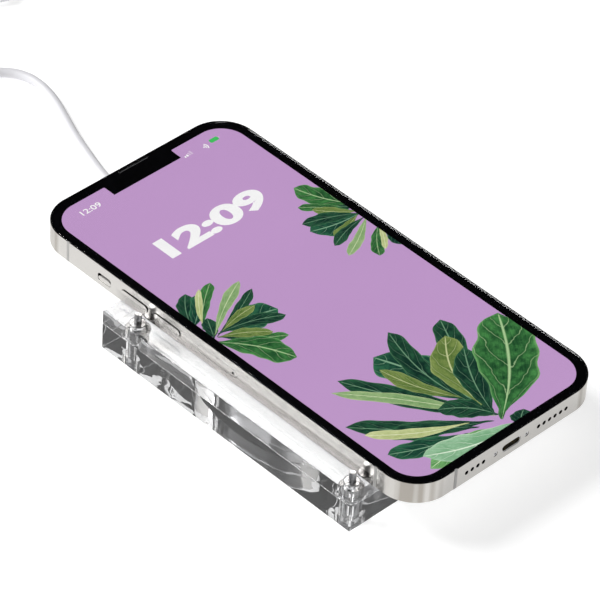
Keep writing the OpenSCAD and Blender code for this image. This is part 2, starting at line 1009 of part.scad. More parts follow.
module plug_body() {
    color([0.96, 0.96, 0.97])
        on_plug() {
            rotate([0, 90, 0])
                cylinder(r1 = lead_d / 2 + 0.1, r2 = lead_d / 2 + 0.8, h = plug_neck);
            translate([plug_neck, 0, 0])
                rotate([90, 0, 90])
                    linear_extrude(plug_l)
                        rounded_rect(plug_w, plug_h, 2.4);
        }
}

shell_w = 8.3;
shell_h = 2.5;
shell_l = 6.6;
shell_t = 0.3;

module plug_shell() {
    color([0.78, 0.79, 0.8])
        on_plug()
            translate([plug_neck + plug_l, 0, 0])
                difference() {
                    bar_x(shell_w, shell_h, shell_l);
                    translate([0.5, 0, 0])
                        bar_x(shell_w - 2 * shell_t, shell_h - 2 * shell_t, shell_l);
                }
}

module plug_contacts() {
    color([0.83, 0.68, 0.36])
        on_plug()
            for (s = [-1, 1])
                translate([plug_neck + plug_l + 0.6, -2.8, s * 0.7 - 0.12])
                    cube([4.6, 5.6, 0.24]);
}

band_left();
band_right();
band_bottom_left();
band_bottom_right();
band_top_left();
band_top_right();
aerial_inserts();
mid_frame();
cover_glass();
display_panel();
front_camera();
face_sensors();
earpiece_mesh();
receiver();
back_glass();
camera_plateau();
camera_rings();
camera_lenses();
camera_barrels();
flash_lens();
rear_sensor();
phone_magnets();
charge_coil();
battery();
logic_board();
loudspeaker();
vibration_motor();
port_shell();
port_contacts();
port_meshes();
end_screws();
switch_domes();
volume_up();
volume_down();
side_button();
ring_switch();
sim_tray();
sim_card();
upper_plate();
lower_plate();
corner_posts();
post_nuts();
feet();
puck_shell();
puck_face();
puck_coil();
puck_magnets();
puck_board();
puck_riser();
strain_relief();
cord_run();
cord_coil();
cord_tail();
cord_tie();
plug_body();
plug_shell();
plug_contacts();
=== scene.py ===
import bpy
import math
import random
from mathutils import Matrix, Vector


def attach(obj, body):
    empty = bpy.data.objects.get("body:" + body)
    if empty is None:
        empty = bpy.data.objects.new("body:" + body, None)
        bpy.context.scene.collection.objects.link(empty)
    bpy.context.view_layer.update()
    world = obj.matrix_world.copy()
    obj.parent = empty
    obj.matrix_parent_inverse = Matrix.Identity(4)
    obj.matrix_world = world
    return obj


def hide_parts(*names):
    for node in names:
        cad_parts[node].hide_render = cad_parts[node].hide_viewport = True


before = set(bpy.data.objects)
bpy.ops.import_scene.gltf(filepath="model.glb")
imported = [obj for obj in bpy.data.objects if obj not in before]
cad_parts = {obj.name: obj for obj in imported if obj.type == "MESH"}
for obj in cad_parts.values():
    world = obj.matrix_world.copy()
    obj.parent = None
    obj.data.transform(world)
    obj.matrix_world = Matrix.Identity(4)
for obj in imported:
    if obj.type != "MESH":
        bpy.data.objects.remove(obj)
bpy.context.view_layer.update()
mm = 0.001
scene = bpy.context.scene
scene.view_settings.view_transform = "Standard"
scene.cycles.max_bounces = 22            # light turns many times inside the clear plates
scene.cycles.transmission_bounces = 22
scene.cycles.glossy_bounces = 10
scene.cycles.sample_clamp_indirect = 4


def deselectAll():
    if bpy.context.mode != "OBJECT":
        bpy.ops.object.mode_set(mode="OBJECT")
    bpy.ops.object.select_all(action="DESELECT")


def useOnly(piece):
    deselectAll()
    piece.select_set(True)
    bpy.context.view_layer.objects.active = piece


def editAll(piece):
    useOnly(piece)
    bpy.ops.object.mode_set(mode="EDIT")
    bpy.ops.mesh.select_all(action="SELECT")


def leaveEdit():
    bpy.ops.object.mode_set(mode="OBJECT")


def joinAll(pieces):
    deselectAll()
    for piece in pieces:
        piece.select_set(True)
    bpy.context.view_layer.objects.active = pieces[0]
    bpy.ops.object.join()
    return bpy.context.object


def faceUp(piece):
    # a flat piece shows its front to the sky
    editAll(piece)
    bpy.ops.mesh.normals_make_consistent(inside=False)
    leaveEdit()
    if piece.data.polygons[0].normal.z < 0:
        editAll(piece)
        bpy.ops.mesh.flip_normals()
        leaveEdit()


def settle(piece, name):
    # the place goes into the mesh, and the object stays at the origin
    useOnly(piece)
    bpy.ops.object.transform_apply(location=True, rotation=True, scale=True)
    piece.name = name
    piece.data.name = name
    return piece


def smooth(piece, angle=32):
    useOnly(piece)
    bpy.ops.object.shade_smooth_by_angle(angle=math.radians(angle))
    even = piece.modifiers.new("even", "WEIGHTED_NORMAL")      # flat faces stay flat beside their soft edges
    even.mode = "FACE_AREA"
    even.weight = 100
    even.keep_sharp = True
    bpy.ops.object.modifier_apply(modifier=even.name)
    return piece


def applyBevel(piece, width, segments=2, angle=32):
    useOnly(piece)
    soft = piece.modifiers.new("edge", "BEVEL")
    soft.width = width * mm
    soft.segments = segments
    soft.limit_method = "ANGLE"
    soft.angle_limit = math.radians(angle)
    soft.use_clamp_overlap = True
    bpy.ops.object.modifier_apply(modifier=soft.name)
    return piece


def copyOfNode(node, name):
    # a merged copy of a node's mesh, ready to be worked on
    piece = bpy.data.objects.new(name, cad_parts[node].data.copy())
    scene.collection.objects.link(piece)
    editAll(piece)
    bpy.ops.mesh.remove_doubles(threshold=0.000002)
    bpy.ops.mesh.dissolve_limited(angle_limit=math.radians(0.6))
    leaveEdit()
    bpy.ops.mesh.customdata_custom_splitnormals_clear()
    piece.data.materials.clear()
    return piece


def dress(piece, material, body):
    piece.data.materials.clear()
    piece.data.materials.append(material)
    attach(piece, body)
    return piece


def newMaterial(name, **values):
    material = bpy.data.materials.new(name)
    material.use_nodes = True
    shader = material.node_tree.nodes["Principled BSDF"]
    for key, value in values.items():
        socket = shader.inputs[key.replace("_", " ")]
        if socket.type == "RGBA" and len(value) == 3:
            value = (*value, 1)
        socket.default_value = value
    return material


def addNode(material, kind, **values):
    node = material.node_tree.nodes.new(kind)
    for key, value in values.items():
        if hasattr(node, key):
            setattr(node, key, value)
        else:
            node.inputs[key.replace("_", " ")].default_value = value
    return node


def link(material, start, end):
    material.node_tree.links.new(start, end)


def objectPlace(material, stretch=(1, 1, 1)):
    place = addNode(material, "ShaderNodeTexCoord")
    mapping = addNode(material, "ShaderNodeMapping")
    mapping.inputs["Scale"].default_value = stretch
    link(material, place.outputs["Object"], mapping.inputs["Vector"])
    return mapping.outputs["Vector"]


def addNoise(material, scale, detail=3, stretch=(1, 1, 1), rough=0.5):
    noise = addNode(material, "ShaderNodeTexNoise")
    noise.inputs["Scale"].default_value = scale
    noise.inputs["Detail"].default_value = detail
    noise.inputs["Roughness"].default_value = rough
    link(material, objectPlace(material, stretch), noise.inputs["Vector"])
    return noise.outputs["Fac"]


def spread(material, value, low, high, fromLow=0.3, fromHigh=0.7):
    span = addNode(material, "ShaderNodeMapRange")
    for key, number in (("From Min", fromLow), ("From Max", fromHigh), ("To Min", low), ("To Max", high)):
        span.inputs[key].default_value = number
    link(material, value, span.inputs["Value"])
    return span.outputs["Result"]


def twoTone(material, value, dark, light):
    mix = addNode(material, "ShaderNodeMix", data_type="RGBA")      # inputs 6 and 7 are its two colours
    mix.inputs[6].default_value = (*dark, 1)
    mix.inputs[7].default_value = (*light, 1)
    link(material, value, mix.inputs["Factor"])
    return mix.outputs[2]


def paintOver(material, colour, layers):
    # each layer is how much of it shows, and its colour
    for share, shade in layers:
        mix = addNode(material, "ShaderNodeMix", data_type="RGBA")
        link(material, share, mix.inputs["Factor"])
        link(material, colour, mix.inputs[6])
        mix.inputs[7].default_value = (*shade, 1)
        colour = mix.outputs[2]
    return colour


def drifting(material, colour, vary, tone, detail=2):
    # the colour wanders slowly by a few parts in a hundred
    drift = spread(material, addNoise(material, tone, detail), 0, 1)
    dark, light = (tuple(min(1, c * (1 + side * vary)) for c in colour) for side in (-1, 1))
    return twoTone(material, drift, dark, light)


def liftSurface(material, shader, height, distance):
    lift = addNode(material, "ShaderNodeBump")
    lift.inputs["Strength"].default_value = 1
    lift.inputs["Distance"].default_value = distance * mm
    link(material, height, lift.inputs["Height"])
    link(material, lift.outputs["Normal"], shader.inputs["Normal"])


def addMaths(material, kind, a, b=None):
    step = addNode(material, "ShaderNodeMath", operation=kind)
    for i, value in enumerate((a, b)):
        if value is None:
            continue
        if isinstance(value, (int, float)):
            step.inputs[i].default_value = value
        else:
            link(material, value, step.inputs[i])
    return step.outputs[0]


def textured(name, colour, vary=0.06, tone=900, rough=(0.3, 0.4), grain=4000, bump=0.0, stretch=(1, 1, 1), **values):
    # colour drifts slowly, roughness follows a finer grain, and the same grain may lift the surface
    material = newMaterial(name, **values)
    shader = material.node_tree.nodes["Principled BSDF"]
    link(material, drifting(material, colour, vary, tone), shader.inputs["Base Color"])
    fine = addNoise(material, grain, 4, stretch)
    link(material, spread(material, fine, *rough), shader.inputs["Roughness"])
    if bump:
        liftSurface(material, shader, fine, bump)
    return material


clearSet = {"hazeScale": 60, "waveScale": 95}


def clearMaterial(name, tint, ior, rough, shade, wave=0.0):
    # light rays from the lamps pass straight through, so what lies beyond stays lit
    material = newMaterial(name, Base_Color=tint, IOR=ior, Transmission_Weight=1.0)
    shader = material.node_tree.nodes["Principled BSDF"]
    link(material, spread(material, addNoise(material, clearSet["hazeScale"], 2), *rough), shader.inputs["Roughness"])
    if wave:                                # hand-polished faces are never quite flat
        liftSurface(material, shader, addNoise(material, clearSet["waveScale"], 1), wave)
    out = material.node_tree.nodes["Material Output"]
    path = addNode(material, "ShaderNodeLightPath")
    through = addNode(material, "ShaderNodeBsdfTransparent")
    through.inputs["Color"].default_value = (*shade, 1)
    mix = addNode(material, "ShaderNodeMixShader")
    link(material, path.outputs["Is Shadow Ray"], mix.inputs[0])
    link(material, shader.outputs["BSDF"], mix.inputs[1])
    link(material, through.outputs["BSDF"], mix.inputs[2])
    link(material, mix.outputs["Shader"], out.inputs["Surface"])
    return material


def litMaterial(name, colour, strength=1.0, vary=0.03, tone=300):
    # the lit picture under the glass: it glows and reflects nothing itself
    material = bpy.data.materials.new(name)
    material.use_nodes = True
    nodes = material.node_tree.nodes
    nodes.remove(nodes["Principled BSDF"])
    glow = addNode(material, "ShaderNodeEmission")
    glow.inputs["Strength"].default_value = strength
    link(material, drifting(material, colour, vary, tone, 1), glow.inputs["Color"])
    link(material, glow.outputs["Emission"], nodes["Material Output"].inputs["Surface"])
    return material


finishes = {
    "aerialPlastic": dict(colour=(0.34, 0.335, 0.325), vary=0.04, tone=500, rough=(0.35, 0.5), grain=6000, bump=0.004),
    # near-black metal, partly painted shade: inner parts seen through the phone's gaps read dark
    "alloyInnerShade": dict(colour=(0.05, 0.05, 0.055), vary=0.06, tone=300, rough=(0.4, 0.55), grain=5000, bump=0.006,
                  Metallic=1.0),
    "darkMesh": dict(colour=(0.025, 0.025, 0.027), vary=0.2, tone=9000, rough=(0.5, 0.8), grain=14000, bump=0.02),
    "blackModule": dict(colour=(0.012, 0.012, 0.014), vary=0.15, tone=600, rough=(0.25, 0.4), grain=4000, bump=0.004),
    # near-black, painted shade for the gaps round the keys
    "paintedGapShade": dict(colour=(0.002, 0.002, 0.002), vary=0.2, tone=900, rough=(0.6, 0.8), grain=4000,
                     Specular_IOR_Level=0.0),
    "whiteGlass": dict(colour=(0.80, 0.79, 0.77), vary=0.02, tone=90, rough=(0.12, 0.2), grain=700, Coat_Weight=0.5,
                       Coat_Roughness=0.05),
    "magnet": dict(colour=(0.62, 0.61, 0.58), vary=0.05, tone=400, rough=(0.2, 0.35), grain=5000, Metallic=1.0),
    "copper": dict(colour=(0.72, 0.38, 0.20), vary=0.12, tone=900, rough=(0.25, 0.4), grain=9000, bump=0.01,
                   Metallic=1.0),
    "board": dict(colour=(0.02, 0.10, 0.06), vary=0.25, tone=1200, rough=(0.35, 0.5), grain=5000, bump=0.01),
    "plated": dict(colour=(0.86, 0.66, 0.30), vary=0.05, tone=900, rough=(0.15, 0.28), grain=7000, Metallic=1.0),
    "brightSteel": dict(colour=(0.60, 0.60, 0.60), vary=0.03, tone=500, rough=(0.10, 0.18), grain=4000, Metallic=1.0),
    "drawnSteel": dict(colour=(0.42, 0.41, 0.39), vary=0.04, tone=500, rough=(0.35, 0.5), grain=5000, Metallic=0.3),
    "cardPlastic": dict(colour=(0.82, 0.82, 0.80), vary=0.03, tone=400, rough=(0.4, 0.5), grain=6000, bump=0.004),
    "rubber": dict(colour=(0.06, 0.06, 0.065), vary=0.15, tone=700, rough=(0.7, 0.85), grain=5000, bump=0.01),
    "puckAluminium": dict(colour=(0.74, 0.74, 0.75), vary=0.03, tone=300, rough=(0.28, 0.38), grain=9000, bump=0.004,
                          Metallic=1.0),
    "puckWhite": dict(colour=(0.85, 0.85, 0.85), vary=0.02, tone=200, rough=(0.5, 0.6), grain=9000, bump=0.004),
    "leadWhite": dict(colour=(0.75, 0.745, 0.775), vary=0.015, tone=120, rough=(0.45, 0.55), grain=7000, bump=0.004),
    "tieFabric": dict(colour=(0.74, 0.74, 0.76), vary=0.12, tone=5000, rough=(0.8, 0.95), grain=9000, bump=0.08,
                      Sheen_Weight=0.4),
}
made = {name: textured(name, **values) for name, values in finishes.items()}

bandFinishAndPaintedLight = {
    "colour": (0.56, 0.545, 0.52), "vary": 0.02, "driftScale": 70,
    # the streak colour paints soft upright bands of reflection round the corners
    "reflectionStreakColour": (0.35, 0.325, 0.29), "reflectionStreakScale": 230, "reflectionStreakAmount": 0.9, "reflectionStreakFrom": 0.42, "reflectionStreakTo": 0.58,
    "cornerFrom": 0.4, "cornerTo": 2.0,     # how far into a corner the painted reflection streaks begin
    # low darkens the lower half of the band beside the dock: a painted reflection of the dock
    "low": (0.25, 0.235, 0.225), "lowFrom": 18.1, "lowTo": 18.6, "lineScale": 900,
    "beside": (-62, 36), "besideFade": (3, 8),
    "middle": (0.6, 0), "half": (39.05, 80.4), "corner": 12.2,
    # inside is painted shade, near-black, for the walls of the openings in the band
    "inside": (0.006, 0.006, 0.006), "insideFrom": 0.14, "insideTo": 0.3,
    "rough": (0.17, 0.25), "roughScale": 1500,
}


def makeSteel(s):
    # satin steel with light painted into its colour: soft upright streaks round the corners as painted reflection, a
    # darker lower half beside the dock as painted reflection, and painted shade in the dark openings
    material = newMaterial("steel", Metallic=1.0)
    shader = material.node_tree.nodes["Principled BSDF"]

    def maths(kind, a, b=None):
        return addMaths(material, kind, a, b)

    place = addNode(material, "ShaderNodeTexCoord")
    parts = addNode(material, "ShaderNodeSeparateXYZ")
    link(material, place.outputs["Object"], parts.inputs[0])
    # how far a point lies inside the rounded outline of the phone
    out = []
    for axis, middle, half in zip("XY", s["middle"], s["half"]):
        away = maths("ABSOLUTE", maths("SUBTRACT", parts.outputs[axis], middle * mm))
        out.append(maths("SUBTRACT", away, (half - s["corner"]) * mm))
    kept = [maths("MAXIMUM", q, 0.0) for q in out]
    squares = [maths("MULTIPLY", k, k) for k in kept]
    reach = maths("SQRT", maths("ADD", *squares))
    flat = maths("MINIMUM", maths("MAXIMUM", *out), 0.0)
    depth = maths("SUBTRACT", s["corner"] * mm, maths("ADD", reach, flat))
    # painted shade: faces lying a fraction of a millimetre inside the outline, the walls of the openings, turn
    # near-black
    paintedOpeningShade = spread(material, depth, 0, 1, s["insideFrom"] * mm, s["insideTo"] * mm)
    onCorner = spread(material, maths("MINIMUM", *kept), 0, 1, s["cornerFrom"] * mm, s["cornerTo"] * mm)
    # soft upright streaks of painted reflection, only round the corners
    reflectionStreaks = addNoise(material, s["reflectionStreakScale"], 1, stretch=(1, 1, 0.02))
    reflectionStreaks = spread(material, reflectionStreaks, 0, s["reflectionStreakAmount"], s["reflectionStreakFrom"], s["reflectionStreakTo"])
    lines = addNoise(material, s["lineScale"], 2, stretch=(0.02, 0.02, 1))
    low, high = s["beside"]
    fadeLow, fadeHigh = s["besideFade"]
    # painted reflection: the lower half of the band beside the dock is darkened, broken by faint lines
    paintedDimReflection = maths("MULTIPLY", spread(material, parts.outputs["Z"], 1, 0, s["lowFrom"] * mm, s["lowTo"] * mm),
                 spread(material, parts.outputs["Y"], 0, 1, (low - fadeLow) * mm, low * mm))
    paintedDimReflection = maths("MULTIPLY", paintedDimReflection, spread(material, parts.outputs["Y"], 1, 0, high * mm, (high + fadeHigh) * mm))
    paintedDimReflection = maths("MULTIPLY", paintedDimReflection, spread(material, lines, 0.6, 1.0))
    colour = drifting(material, s["colour"], s["vary"], s["driftScale"])
    colour = paintOver(material, colour, ((paintedDimReflection, s["low"]), (maths("MULTIPLY", reflectionStreaks, onCorner), s["reflectionStreakColour"]),
                                          (paintedOpeningShade, s["inside"])))
    link(material, colour, shader.inputs["Base Color"])
    fine = addNoise(material, s["roughScale"], 4, stretch=(1, 1, 5))
    link(material, spread(material, fine, *s["rough"]), shader.inputs["Roughness"])
    return material


made["steel"] = makeSteel(bandFinishAndPaintedLight)

# dark and light are the two tones of the painted reflection flashes on the posts
turnedFinishAndGlints = {"dark": (0.16, 0.16, 0.165), "light": (0.62, 0.62, 0.62), "flashScale": 1300,
                "flashFrom": 0.4, "flashTo": 0.62, "rough": (0.24, 0.36), "ringScale": 5000}


def makeTurned(s):
    # turned steel: the tool left rings, and upright flashes of painted reflection run round each post in its colour
    material = newMaterial("turnedSteel", Metallic=1.0)
    shader = material.node_tree.nodes["Principled BSDF"]
    paintedFlashes = addNoise(material, s["flashScale"], 1, stretch=(1, 1, 0.06))
    paintedFlashes = spread(material, paintedFlashes, 0, 1, s["flashFrom"], s["flashTo"])
    link(material, twoTone(material, paintedFlashes, s["dark"], s["light"]), shader.inputs["Base Color"])
    rings = addNoise(material, s["ringScale"], 2, stretch=(0.05, 0.05, 1))
    link(material, spread(material, rings, *s["rough"]), shader.inputs["Roughness"])
    return material


made["turnedSteel"] = makeTurned(turnedFinishAndGlints)
made["acrylic"] = clearMaterial("acrylic", (0.77, 0.77, 0.775), 1.49, (0.0, 0.002), (0.95, 0.96, 0.96), wave=0.14)
made["coverGlass"] = clearMaterial("coverGlass", (0.99, 0.99, 0.99), 1.50, (0.0, 0.004), (0.9, 0.9, 0.9))
made["lensGlass"] = clearMaterial("lensGlass", (0.80, 0.82, 0.88), 1.52, (0.0, 0.02), (0.5, 0.5, 0.55))
made["lampLens"] = clearMaterial("lampLens", (0.98, 0.93, 0.72), 1.50, (0.15, 0.25), (0.8, 0.75, 0.6))

nodeFinish = {
    "steel": "band_left band_right band_bottom_left band_bottom_right band_top_left band_top_right volume_up "
             "volume_down side_button ring_switch sim_tray camera_rings",
    "aerialPlastic": "aerial_inserts",
    # the mid frame and inner parts are near-black as painted shade inside the phone
    "alloyInnerShade": "mid_frame receiver loudspeaker vibration_motor",
    "darkMesh": "earpiece_mesh port_meshes",
    "blackModule": "front_camera face_sensors camera_barrels battery switch_domes rear_sensor",
    "whiteGlass": "back_glass camera_plateau",
    "lensGlass": "camera_lenses",
    "lampLens": "flash_lens",
    "magnet": "phone_magnets puck_magnets",
    "copper": "charge_coil puck_coil",
    "board": "logic_board puck_board",
    "plated": "port_contacts plug_contacts",
    "brightSteel": "port_shell end_screws corner_posts post_nuts plug_shell",
    "cardPlastic": "sim_card",
    "acrylic": "upper_plate lower_plate",
    "coverGlass": "cover_glass",
    "rubber": "feet puck_riser",
    "puckAluminium": "puck_shell",
    "puckWhite": "puck_face",
    "leadWhite": "strain_relief cord_run cord_coil cord_tail plug_body",
    "tieFabric": "cord_tie",
}
for finishName, nodeNames in nodeFinish.items():
    for nodeName in nodeNames.split():
        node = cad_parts[nodeName]
        node.data.materials.clear()
        node.data.materials.append(made[finishName])
print("materials ready", len(bpy.data.materials))


cameraSet = {"target": (-4.77, 0.71, 22.4), "distance": 1254.2, "azimuth": -46.323, "elevation": 40.752,
             "roll": 3.553, "lens": 257.36}


def makeCamera(s):
    azimuth, elevation, roll = (math.radians(s[k]) for k in ("azimuth", "elevation", "roll"))
    back = Vector((math.sin(azimuth) * math.cos(elevation), -math.cos(azimuth) * math.cos(elevation),
                   math.sin(elevation)))
    across = (-back).cross(Vector((0, 0, 1))).normalized()
    upward = across.cross(-back)
    side = across * math.cos(roll) + upward * math.sin(roll)
    top = upward * math.cos(roll) - across * math.sin(roll)
    bpy.ops.object.camera_add()
    camera = bpy.context.object
    camera.name = "mainCamera"
    turned = Matrix((side, top, back)).transposed().to_4x4()
    camera.matrix_world = Matrix.Translation((Vector(s["target"]) + back * s["distance"]) * mm) @ turned
    camera.data.lens = s["lens"]
    camera.data.sensor_width = 36
    camera.data.clip_start = 0.05
    camera.data.clip_end = 30
    scene.camera = camera


makeCamera(cameraSet)
print("camera set")


leadSet = {
    "diameter": 3.2,
    "exit": (0.6, 28, 12),
    "run": [(0.6, 28, 12), (0.6, 34, 12), (0.6, 40, 12), (0.6, 46, 11.7), (0.6, 52, 10.6), (0.8, 58, 8.7),
            (1.2, 64, 6.5), (1.8, 70, 4.4), (2.6, 76, 2.8), (3.6, 82, 1.9), (4.7, 88, 1.6), (6.1, 94, 1.6),
            (7.6, 100, 1.6), (9.3, 106, 1.6), (11.2, 112, 1.6), (13.2, 118, 1.6), (15.5, 124, 1.6), (18, 130, 1.6),
            (20.3, 136, 1.6), (22, 142, 1.6), (22.7, 148, 1.6), (21.9, 153, 1.6), (19.4, 157.4, 1.6),
            (15.3, 160.7, 1.7), (10, 162.5, 1.9), (4, 163, 2.1)],
    "coilCentre": (-3, 185.4),
    "turns": [(22.4, 2.2, 1), (19.2, 2.2, 1), (16, 2.2, 1), (12.8, 2.2, 1), (12.8, 5.4, 1), (16, 5.4, 1),
              (19.2, 5.4, 1), (22.4, 5.4, 0.5)],
    "perTurn": 24, "stepFrom": 0.78, "stepOver": 0.22,
    "tail": [(3, 207.5, 5.4), (9, 206.7, 5.1), (15, 205.4, 4.5), (21, 203.4, 3.7), (26, 201.3, 3.2), (28, 200.4, 3.2)],
}


def coilPoints(s):
    # clockwise from the near side of the coil; each turn steps over to the next in its last quarter
    points = []
    turned = 0.0
    for i, (radius, height, share) in enumerate(s["turns"]):
        after = s["turns"][i + 1] if i + 1 < len(s["turns"]) else (radius, height, 0)
        count = round(s["perTurn"] * share)
        for k in range(count):
            t = k / s["perTurn"]
            step = max(0.0, (t - s["stepFrom"]) / s["stepOver"])
            step = step * step * (3 - 2 * step)
            r = radius + (after[0] - radius) * step
            z = height + (after[1] - height) * step
            angle = math.radians(270 - 360 * (turned + t))
            points.append((s["coilCentre"][0] + r * math.cos(angle), s["coilCentre"][1] + r * math.sin(angle), z))
        turned += share
    return points + [(s["coilCentre"][0], s["coilCentre"][1] + s["turns"][-1][0], s["turns"][-1][1])]


def makeLead(s):
    points = s["run"] + coilPoints(s) + s["tail"]
    curve = bpy.data.curves.new("chargeLead", "CURVE")
    curve.dimensions = "3D"
    curve.bevel_depth = s["diameter"] / 2 * mm
    curve.bevel_resolution = 5
    curve.resolution_u = 4
    curve.use_fill_caps = True
    spline = curve.splines.new("BEZIER")
    spline.bezier_points.add(len(points) - 1)
    for knot, p in zip(spline.bezier_points, points):
        knot.co = Vector(p) * mm
        knot.handle_left_type = knot.handle_right_type = "AUTO"
    lead = bpy.data.objects.new("chargeLead", curve)
    scene.collection.objects.link(lead)
    curve.materials.append(made["leadWhite"])
    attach(lead, "dock")
    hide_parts("cord_run", "cord_coil", "cord_tail")
    return lead


makeLead(leadSet)
print("lead laid")


roomSet = {
    "floorSize": 8,
    "paper": dict(colour=(0.50, 0.50, 0.50), vary=0.01, tone=3, rough=(0.8, 0.9), grain=400,
                  Emission_Color=(1, 1, 1), Emission_Strength=0.72),
    "horizon": (1.0, 1.0, 1.0), "overhead": (0.012, 0.012, 0.014), "skyStrength": 0.8,
    "lightBelow": 9, "darkAbove": 27,       # degrees above the horizon, where the sky begins and ends its fall
    "lamps": [("keyLamp", (-0.8, 1.1, 1.45), 0.9, 42), ("fillLamp", (-0.9, -1.2, 1.5), 1.0, 4)],
}


def makeRoom(s):
    deselectAll()
    bpy.ops.mesh.primitive_plane_add(size=s["floorSize"])
    floor = bpy.context.object
    floor.name = "floor"
    floor.data.materials.append(textured("paper", **s["paper"]))
    world = bpy.data.worlds.new("studio")
    scene.world = world
    world.use_nodes = True
    nodes, links = world.node_tree.nodes, world.node_tree.links
    sky = nodes["Background"]
    sky.inputs["Strength"].default_value = s["skyStrength"]
    place = nodes.new("ShaderNodeTexCoord")
    parts = nodes.new("ShaderNodeSeparateXYZ")
    span = nodes.new("ShaderNodeMapRange")
    span.interpolation_type = "SMOOTHSTEP"
    span.inputs["From Min"].default_value = math.sin(math.radians(s["lightBelow"]))
    span.inputs["From Max"].default_value = math.sin(math.radians(s["darkAbove"]))
    mix = nodes.new("ShaderNodeMix")
    mix.data_type = "RGBA"
    mix.inputs[6].default_value = (*s["horizon"], 1)
    mix.inputs[7].default_value = (*s["overhead"], 1)
    links.new(place.outputs["Generated"], parts.inputs[0])
    links.new(parts.outputs["Z"], span.inputs["Value"])
    links.new(span.outputs["Result"], mix.inputs["Factor"])
    links.new(mix.outputs[2], sky.inputs["Color"])
    for name, place, size, power in s["lamps"]:
        bpy.ops.object.light_add(type="AREA", location=place)
        lamp = bpy.context.object
        lamp.name = name
        lamp.data.shape = "DISK"
        lamp.data.size = size
        lamp.data.energy = power
        lamp.rotation_mode = "QUATERNION"
        lamp.rotation_quaternion = (-Vector(place)).to_track_quat("-Z", "Y")


makeRoom(roomSet)
print("room lit")


screenSet = {"top": 21.56, "purple": (0.52, 0.315, 0.585), "glow": 1.09, "middle": (0.6, 0), "reach": (37, 78.4),
             "litFrom": 21.44, "litTo": 21.49}


def lightPanel(s):
    # only the panel's top is lit, so that no glow shows through the slots in the band
    panel = litMaterial("pictureGround", s["purple"], s["glow"], vary=0.012, tone=25)
    place = addNode(panel, "ShaderNodeTexCoord")
    parts = addNode(panel, "ShaderNodeSeparateXYZ")
    link(panel, place.outputs["Object"], parts.inputs[0])
    strength = spread(panel, parts.outputs["Z"], 0, s["glow"], s["litFrom"] * mm, s["litTo"] * mm)
    link(panel, strength, panel.node_tree.nodes["Emission"].inputs["Strength"])
    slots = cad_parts["display_panel"].data.materials
    slots.clear()
    slots.append(panel)


lightPanel(screenSet)

leafTones = {
    "dark": dict(low=(0.002, 0.014, 0.014), high=(0.030, 0.130, 0.060),
                 vein=(0.16, 0.32, 0.19), edge=(0.08, 0.22, 0.10)),
    "teal": dict(low=(0.003, 0.022, 0.020), high=(0.040, 0.190, 0.090),
                 vein=(0.22, 0.42, 0.26), edge=(0.09, 0.28, 0.13)),
    "mid": dict(low=(0.006, 0.045, 0.016), high=(0.085, 0.320, 0.085),
                vein=(0.40, 0.60, 0.30), edge=(0.20, 0.44, 0.16)),
    "light": dict(low=(0.060, 0.220, 0.060), high=(0.210, 0.480, 0.170),
                  vein=(0.60, 0.78, 0.48), edge=(0.40, 0.62, 0.30)),
    "olive": dict(low=(0.070, 0.140, 0.030), high=(0.270, 0.350, 0.100),
                  vein=(0.55, 0.60, 0.30), edge=(0.35, 0.42, 0.16)),
    "pale": dict(low=(0.150, 0.300, 0.110), high=(0.420, 0.560, 0.270),
                 vein=(0.70, 0.80, 0.50), edge=(0.55, 0.66, 0.36)),
    "cream": dict(low=(0.380, 0.450, 0.170), high=(0.700, 0.740, 0.400),
                  vein=(0.85, 0.88, 0.62), edge=(0.62, 0.68, 0.38)),
    "mint": dict(low=(0.170, 0.380, 0.200), high=(0.420, 0.660, 0.440),
                 vein=(0.75, 0.88, 0.70), edge=(0.60, 0.78, 0.55)),
}


leafVeins = {
    "wobbleScale": 260, "wobble": 0.12, "lean": 0.16, "sweep": 0.16,        # how the side veins bend forward
    "pairs": 17, "sideWidth": (0.02, 0.13), "sideShow": 0.7, "midrib": (0.02, 0.065),
    "rim": (0.90, 1.0), "rimShow": 0.8,
    "fibres": (5, 34, 1), "fibreSpan": (0.38, 0.66), "patchScale": 300, "patchSpan": (0.40, 0.64),
    "ridges": (0.1, 1, 0.1, 0.9), "freshTip": 0.35, "freshRim": 0.3,
}


